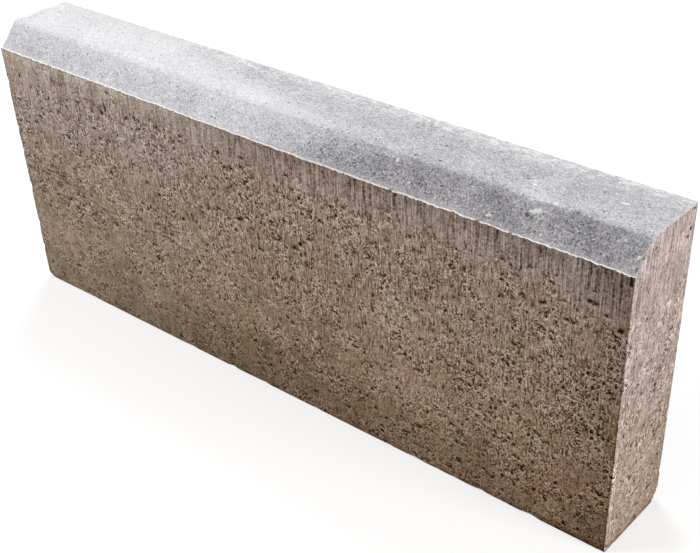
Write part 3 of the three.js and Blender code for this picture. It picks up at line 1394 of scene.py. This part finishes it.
def side_colour(tree, zone):
    rise = ramp_between(tree, zone["height"], 0.0, 184.0)
    front = blend(tree, rise, FRONT_FOOT, FRONT_TOP)
    yellow = cloud(tree, millimetres(tree, shift=(90, 0, 0)), 34.0, 3, 0.8)
    yellow = ramp_between(tree, yellow, -0.5, 2.0)
    yellow = times(tree, yellow, ramp_between(tree, rise, 0.1, 0.9, 0.6, 0.15))
    front = blend(tree, yellow, front, YELLOW_SAND)
    red = cloud(tree, millimetres(tree, shift=(0, 0, 70)), 22.0, 3, 0.8)
    red = ramp_between(tree, red, 0.4, 2.4)
    front = blend(tree, times(tree, red, 0.2), front, RED_SAND)
    grouted = blend(tree, zone["left"], GROUT_RIGHT, GROUT_LEFT)
    front = blend(tree, zone["packed"], front, grouted)
    tide = cloud(tree, millimetres(tree, (2, 1, 1)), 14.0, 2, 0.7)
    tide = maths(tree, "MULTIPLY_ADD", tide, 6.0, zone["height"])
    wet = ramp_between(tree, tide, 18.0, 48.0, 1.0, 0.0)
    wet = times(tree, wet, ramp_between(tree, zone["along"], -230.0, -130.0, 0.4, 1.0))
    soaked = blend(tree, zone["left"], WET_RIGHT, WET_LEFT)
    front = blend(tree, wet, front, soaked, "MULTIPLY")
    rusty = cloud(tree, millimetres(tree, shift=(30, 0, 50)), 18.0, 2, 0.7)
    rusty = ramp_between(tree, rusty, -0.2, 1.6)
    rusty = times(tree, rusty, zone["right"], ramp_between(tree, zone["height"], 100.0, 40.0))
    front = blend(tree, rusty, front, RUST_TINT, "MULTIPLY")
    corner = vector_maths(tree, "SUBTRACT", object_place(tree), (0.212, 0, 0.03))
    corner = length_of(tree, vector_maths(tree, "MULTIPLY", corner, (0.5, 0, 1)))
    corner = ramp_between(tree, corner, 0.008, 0.03, 1.0, 0.0)
    front = blend(tree, corner, front, CORNER_TINT, "MULTIPLY")
    cool = ramp_between(tree, zone["along"], 130.0, 230.0)
    cool = times(tree, cool, ramp_between(tree, zone["height"], 165.0, 180.0))
    front = blend(tree, cool, front, COOL_TINT, "MULTIPLY")
    front = blend(tree, zone["left"], front, LEFT_TINT, "MULTIPLY")
    ends = blend(tree, rise, END_FOOT, END_TOP)
    drift = cloud(tree, millimetres(tree, (1, 1, 2), (0, 0, 20)), 10.0, 2, 0.7)
    drift = ramp_between(tree, drift, -1.0, 1.0)
    warmer = blend(tree, drift, COOLER_DRIFT, WARMER_DRIFT)
    ends = blend(tree, 1.0, ends, warmer, "MULTIPLY")
    return blend(tree, zone["ends"], front, ends)


# %% [markdown]
# ### Shade by place
#
# Some parts of the stone are lighter or darker for where they lie: under the lip, at the foot,
# beside the uprights and along the end's edge. The dark foot, the dark strip on the front at the
# right-hand corner and the lighter left part are painted shade and painted light, and the end's
# edge behind the front and under the chamfer is pale with wear and a painted highlight. Their
# shares are added up here.


# %% Shade the sides by place
def side_shade(tree, zone):
    under_lip = ramp_between(tree, zone["height"], 172.0, 184.0)
    grout = ramp_between(tree, zone["left"], 0.0, 1.0, -0.15, 0.3)
    grout = ramp_between(tree, zone["ends"], 0.0, 1.0, grout, 0.2, smooth=False)
    # Painted shade along the foot, darkest towards the right.
    foot_shade = ramp_between(tree, zone["along"], 120.0, 170.0, -0.18, -0.45)
    foot = ramp_between(tree, zone["height"], 0.0, 7.0, foot_shade, 0.0)
    by_arris = ramp_between(tree, zone["along"], 205.0, 246.0, 0.0, -0.22)
    by_arris = times(tree, by_arris, without(tree, zone["ends"]))
    by_left_arris = ramp_between(tree, zone["along"], -249.0, -244.0, -0.15, 0.0)
    # Painted shade: a dark strip on the front just short of the right-hand corner.
    on_arris = ramp_between(tree, zone["along"], 247.6, 249.2, 0.0, -0.3)
    on_arris = times(tree, on_arris, without(tree, zone["ends"]))
    back = ruler(tree, "Y")
    frayed = maths(tree, "MULTIPLY", cloud(tree, millimetres(tree, (1, 1, 2)), 2.0, 1, 0.7), 1.2)
    behind_front = ramp_between(tree, maths(tree, "ADD", back, frayed), -29.0, -25.0, 0.3, 0.0)
    under_chamfer = maths(tree, "ADD", maths(tree, "SUBTRACT", zone["height"], back), frayed)
    under_chamfer = ramp_between(tree, under_chamfer, 209.5, 212.5, 0.0, 0.25)
    # Pale with wear and a painted highlight: the end's edge behind the front and under the chamfer.
    worn_and_lit_edge = times(tree, maths(tree, "MAXIMUM", behind_front, under_chamfer), zone["ends"])
    deep_in = ramp_between(tree, back, 0.0, 22.0)
    low_end = ramp_between(tree, zone["height"], 125.0, 90.0)
    return sum_of(
        tree,
        (times(tree, under_lip, grout), 1.0),
        (foot, 1.0),
        (by_arris, 1.0),
        (by_left_arris, 1.0),
        (on_arris, 1.0),
        (worn_and_lit_edge, 1.0),
        # Painted light: the left part of the sides is lighter.
        (zone["left"], 0.14),
        (zone["ends"], -0.045),
        (times(tree, deep_in, low_end, zone["ends"]), -0.1),
    )


# %% [markdown]
# ### Colour times tone
#
# In a hollow the light bounces more than once and takes the stone's colour each time, so the
# dark tones are warmer than the light ones: each channel is the tone raised to its own power,
# with one set of powers below the middle tone and a gentler one above it.


# %% Tint the tone
DEEPENING = {"Red": 1.0, "Green": 1.36, "Blue": 1.8}
PALING = {"Red": 1.0, "Green": 1.13, "Blue": 1.26}


def tinted(tree, colour, tone, warmth=None):
    """The colour times the tone. Warmth, where it is given, goes from 0 for none to 1 for all."""
    if warmth is None:
        channels = {"Red": tone, "Green": tone, "Blue": tone}
    else:
        dark = maths(tree, "MINIMUM", tone, 1.0)
        light = maths(tree, "MAXIMUM", tone, 1.0)
        channels = {}
        for name in DEEPENING:
            below = ramp_between(tree, warmth, 0.0, 1.0, 1.0, DEEPENING[name], smooth=False)
            above = ramp_between(tree, warmth, 0.0, 1.0, 1.0, PALING[name], smooth=False)
            dimmed = maths(tree, "POWER", dark, below)
            channels[name] = times(tree, dimmed, maths(tree, "POWER", light, above))
    gray = node(tree, "CombineColor", **channels)
    return blend(tree, 1.0, colour, gray.outputs[0], "MULTIPLY")


# %% [markdown]
# ### The finish of the sides
#
# Now the zones, patterns, tone and colour meet in one shader. Scuffed arrises and the painted
# highlights on the lower rims of tears are blended in last. They stop short of the uprights, so
# that the scuffed arrises don't draw a pale line there.


# %% Make the finish of the sides
# Pale colour of scuffed arrises and the lip, and of the painted highlight on the lower rims of tears.
RUBBED_AND_LIT_RIM = (0.88, 0.75, 0.63, 1)


def empty_material(name):
    material = bpy.data.materials.new(name)
    material.use_nodes = True
    material.node_tree.nodes.clear()
    return material, material.node_tree


def dragged_sides():
    material, tree = empty_material("dragged_concrete")
    zone = side_zones(tree)
    seen = side_patterns(tree, zone)
    shade = maths(tree, "ADD", side_shade(tree, zone), 1.0)
    tone = times(tree, side_tone(tree, seen, zone), shade)
    warmth = ramp_between(tree, times(tree, zone["packed"], zone["right"]), 0.0, 1.0, 1.0, 0.55)
    warmth = ramp_between(tree, zone["ends"], 0.0, 1.0, warmth, 0.35)
    colour = tinted(tree, side_colour(tree, zone), tone, warmth)
    rubbed_and_lit = maths(tree, "MULTIPLY_ADD", cloud(tree, millimetres(tree), 2.0, 1, 0.7), 0.25, 0.85)
    on_front = ramp_between(tree, zone["height"], 183.4, 184.2, 1.0, 0.0)
    short_of_arris = ramp_between(tree, maths(tree, "ABSOLUTE", zone["along"]), 246.5, 247.5, 1.0, 0.0)
    on_front = maths(tree, "MAXIMUM", times(tree, on_front, short_of_arris), zone["ends"])
    rubbed_and_lit = times(tree, rubbed_and_lit, painted(tree, "scuff_and_rim_light"), on_front)
    colour = blend(tree, rubbed_and_lit, colour, RUBBED_AND_LIT_RIM)
    depth = ramp_between(tree, zone["ends"], 0.0, 1.0, 1.0, 0.35)
    bump = node(tree, "Bump", Height=side_relief(tree, seen), Distance=0.0016, Strength=depth)
    skin = node(tree, "BsdfPrincipled", Base_Color=colour, Roughness=0.92, Normal=bump.outputs[0])
    skin.inputs["Specular IOR Level"].default_value = 0.03
    node(tree, "OutputMaterial", Surface=skin.outputs[0])
    return material


# %% [markdown]
# ## The pressed head
#
# Cooler and paler, with the cement paste ironed to the surface. Damp has darkened the right
# half, and the border of the stain leans: it climbs along the chamfer, then runs back to the
# left over the top. Fine dark and white sand grains lie all over it, with a few chips.


# %% Place the stain and the chips of the head
# Each is where it lies along the stone, back from its middle and up it, then its length and width.
PALE_CHIPS = [
    (183.4, -19.9, 194.1, 4.5, 1.8),
    (185.6, -19.1, 194.9, 4.0, 1.8),
    (186.5, -18.3, 195.7, 2.4, 1.6),
    (180.2, -15.4, 198.4, 3.0, 1.4),
    (184.6, -14.7, 199.1, 4.6, 1.5),
    (189.4, -14.3, 199.4, 3.0, 1.2),
    (193.4, -13.9, 199.6, 4.0, 1.5),
    (198.0, -13.5, 199.8, 2.4, 1.1),
    (159.8, -26.6, 187.4, 2.4, 2.2),
    (161.2, -26.2, 187.8, 2.4, 2.0),
    (125.4, -26.8, 187.2, 1.8, 2.2),
    (143, -24.8, 189.2, 2.0, 1.8),
    (188, -22.9, 191.1, 1.8, 1.8),
    (193, -26.5, 187.5, 2.0, 2.2),
    (94, -18.3, 195.7, 2.0, 2.2),
    (106.7, -24.6, 189.4, 1.8, 2.0),
    (246.6, -22.9, 191.1, 2.6, 3.0),
    (174, -4, 200, 3.0, 2.0),
    (171.7, -0.4, 200, 2.0, 1.6),
    (188, 1, 200, 3.0, 1.4),
    (222, 6, 200, 5.0, 1.6),
]
# Painted shade: small dark pits and notches, and the dark spot beside the big chip, where the mesh has
# no hole.
PITS_IN_SHADE = [
    (181.0, -21.6, 192.4, 3.2, 2.2),
    (184.2, -21.9, 192.1, 2.6, 2.0),
    (118, -11.4, 200, 2.0, 1.8),
    (102.5, -13.3, 200, 3.0, 1.6),
    (167.5, -0.4, 200, 2.0, 1.8),
    (110, 5, 200, 2.0, 1.8),
    (248.6, -26.5, 186.5, 1.8, 5.0),
    (249.2, -22.0, 191.0, 1.4, 2.4),
]


def chips(tree, place, listed):
    jitter = node(tree, "TexNoise", Vector=place, Scale=0.55, Detail=2.0, Roughness=0.7)
    jitter = jitter.outputs["Color"]
    jitter = vector_maths(tree, "MULTIPLY_ADD", jitter, (4.0, 3.0, 3.0), (-2.0, -1.5, -1.5))
    ragged_place = vector_maths(tree, "ADD", place, jitter)
    total = 0.0
    for along, back, height, length, width in listed:
        away = vector_maths(tree, "SUBTRACT", ragged_place, (along, back, height))
        away = vector_maths(tree, "DIVIDE", away, (length / 2, width / 2, width / 2))
        near = ramp_between(tree, length_of(tree, away), 0.9, 1.15, 1.0, 0.0)
        total = maths(tree, "MAXIMUM", near, total)
    return total


def head_stain(tree, place):
    back = ruler(tree, "Y")
    climb = ramp_between(tree, back, -28.0, -15.0, 14.0, 66.0, smooth=False)
    lean = ramp_between(tree, back, -15.0, 30.0, 0.0, -202.0, smooth=False)
    wander = maths(tree, "MULTIPLY", cloud(tree, place, 12.0, 2, 0.7), 5.0)
    border = maths(tree, "ADD", maths(tree, "ADD", climb, lean), wander)
    softness = ramp_between(tree, back, -28.0, -15.0, 52.0, 75.0, smooth=False)
    past = maths(tree, "SUBTRACT", ruler(tree, "X"), border)
    return ramp_between(tree, maths(tree, "DIVIDE", past, softness), -1.0, 1.0)


# %% [markdown]
# ### The finish of the head
#
# The tone of the head is its sand grains and lumps, and a painted highlight along the knee,
# which turns into painted shade near the right-hand end. The colours go on in layers, from the
# wide ones to the small ones: chamfer and top, the chamfer darker as painted shade, the rubbed
# strip at the back, its crust, pits darkened as painted shade and pale chips, and the lip at the end.


# %% Make the finish of the head
def head_tone(tree, place, stain):
    grain = cloud(tree, place, 1.1, 1, 0.9)
    coarse = cloud(tree, place, 4.0, 2, 0.8)
    patches = cloud(tree, place, 26.0, 2, 0.6)
    dark = ramp_between(tree, cloud(tree, millimetres(tree, shift=(50, 0, 0)), 1.2, 1, 0.6), 1.3, 1.8)
    pale = ramp_between(tree, cloud(tree, millimetres(tree, shift=(0, 50, 0)), 1.2, 1, 0.6), 1.5, 2.0)
    fine = sum_of(tree, (grain, 0.2), (coarse, 0.08), (patches, 0.07), (dark, -0.6), (pale, 0.8))
    slope = ramp_between(tree, ruler(tree, "Z"), 194.0, 199.8, 1.25, 0.75)
    contrast = times(tree, slope, ramp_between(tree, stain, 0.0, 1.0, 0.55, 1.0))
    # Painted highlight along the knee; near the right-hand end it turns into painted shade.
    knee_light_foot = ramp_between(tree, ruler(tree, "X"), -50.0, 120.0, 188.0, 196.0)
    knee_light_and_shade = ramp_between(tree, ruler(tree, "Z"), knee_light_foot, 198.6, 0.0, 0.13)
    knee_light_and_shade = times(tree, knee_light_and_shade, ramp_between(tree, ruler(tree, "Z"), 198.6, 199.5, 1.0, 0.0))
    knee_light_and_shade = times(tree, knee_light_and_shade, ramp_between(tree, ruler(tree, "X"), 190.0, 225.0, 1.0, -0.4))
    haze = vector_maths(tree, "SUBTRACT", object_place(tree), (0.182, -0.017, 0.197))
    haze = ramp_between(tree, length_of(tree, haze), 0.003, 0.015, 0.2, 0.0)
    middle_glow = ramp_between(tree, ruler(tree, "X"), -220.0, -20.0, 0.0, 0.12)
    middle_glow = times(tree, middle_glow, without(tree, stain))
    middle_glow = times(tree, middle_glow, ramp_between(tree, ruler(tree, "Z"), 196.0, 199.6, 1.0, 0.0))
    speck = dots(tree, place, 3.6, 0.6, 0.22)[0]
    glow = ((knee_light_and_shade, 1.0), (middle_glow, 1.0), (haze, 1.0))
    tone = sum_of(tree, *glow, (fine, contrast), (speck, -0.6))
    return maths(tree, "MAXIMUM", maths(tree, "ADD", tone, 1.0), 0.2)


# %% Mix the colours of the head
# Painted shade: the chamfer's colours are darker than the top's, pale and damp alike.
CHAMFER_PALE_SHADED = (0.76, 0.752, 0.796, 1)
CHAMFER_DAMP_SHADED = (0.455, 0.437, 0.463, 1)
TOP_PALE = (0.83, 0.83, 0.85, 1)
TOP_DAMP = (0.605, 0.603, 0.645, 1)
RUBBED_BACK = (0.74, 0.74, 0.73, 1)
CRUST_WHITE = (0.98, 0.98, 0.975, 1)
PIT_SHADE = (0.14, 0.13, 0.135, 1)
CHIP_WHITE = (1.0, 1.0, 0.99, 1)
END_RIM = (0.82, 0.74, 0.67, 1)
ABOVE_LIP = (0.93, 0.90, 0.89, 1)
LIP_PALE = (1.0, 0.95, 0.93, 1)


def pressed_head():
    material, tree = empty_material("pressed_concrete")
    place = millimetres(tree)
    stain = head_stain(tree, place)
    tone = head_tone(tree, place, stain)
    rough_height = sum_of(tree, (ruler(tree, "Z"), 1.0), (cloud(tree, place, 2.0, 2, 0.8), 0.25))
    on_top = ramp_between(tree, rough_height, 198.2, 199.4)
    # Painted shade: the chamfer gets darker colours than the top.
    chamfer = blend(tree, stain, CHAMFER_PALE_SHADED, CHAMFER_DAMP_SHADED)
    flat = blend(tree, stain, TOP_PALE, TOP_DAMP)
    colour = tinted(tree, blend(tree, on_top, chamfer, flat), tone)
    rubbed_and_lit = sum_of(tree, (ruler(tree, "Y"), 1.0), (cloud(tree, place, 9.0, 2, 0.8), 3.0))
    rubbed_and_lit = ramp_between(tree, rubbed_and_lit, 18.0, 30.0)
    crust = cloud(tree, millimetres(tree, (1.6, 1, 1), (0, 30, 0)), 3.0, 2, 0.8)
    crust = ramp_between(tree, crust, 0.3, 0.7)
    crust = times(tree, crust, ramp_between(tree, ruler(tree, "Y"), 12.0, 28.0), stain)
    colour = blend(tree, times(tree, rubbed_and_lit, 0.8), colour, RUBBED_BACK)
    colour = blend(tree, times(tree, crust, 0.85), colour, CRUST_WHITE)
    # Painted shade of the pits.
    colour = blend(tree, chips(tree, place, PITS_IN_SHADE), colour, PIT_SHADE)
    colour = blend(tree, chips(tree, place, PALE_CHIPS), colour, CHIP_WHITE)
    by_end = sum_of(tree, (ruler(tree, "X"), 1.0), (cloud(tree, place, 1.8, 2, 0.7), 0.9))
    by_end = ramp_between(tree, by_end, 248.8, 249.6, 0.0, 0.85)
    colour = blend(tree, by_end, colour, END_RIM)
    by_lip = ramp_between(tree, rough_height, 184.4, 187.0, 0.25, 0.0)
    colour = blend(tree, by_lip, colour, ABOVE_LIP)
    lip_tone = ramp_between(tree, ruler(tree, "X"), -60.0, 30.0, 1.0, 0.9)
    on_lip = ramp_between(tree, painted(tree, "scuff_and_rim_light"), 0.0, 0.35)
    colour = blend(tree, times(tree, on_lip, lip_tone), colour, LIP_PALE)
    grains = (cloud(tree, place, 2.4, 1, 0.5), 0.05)
    lumps = (cloud(tree, place, 9.0, 1, 0.5), 0.06)
    relief = sum_of(tree, grains, lumps)
    bump = node(tree, "Bump", Height=relief, Distance=0.001)
    skin = node(tree, "BsdfPrincipled", Base_Color=colour, Roughness=0.85, Normal=bump.outputs[0])
    skin.inputs["Specular IOR Level"].default_value = 0.35
    node(tree, "OutputMaterial", Surface=skin.outputs[0])
    return material


kerb_mesh.materials.append(dragged_sides())
kerb_mesh.materials.append(pressed_head())
print("finishes:", [material.name for material in kerb_mesh.materials])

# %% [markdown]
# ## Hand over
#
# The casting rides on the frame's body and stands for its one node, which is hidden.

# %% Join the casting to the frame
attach(kerb, "root")
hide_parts("kerb_stone")
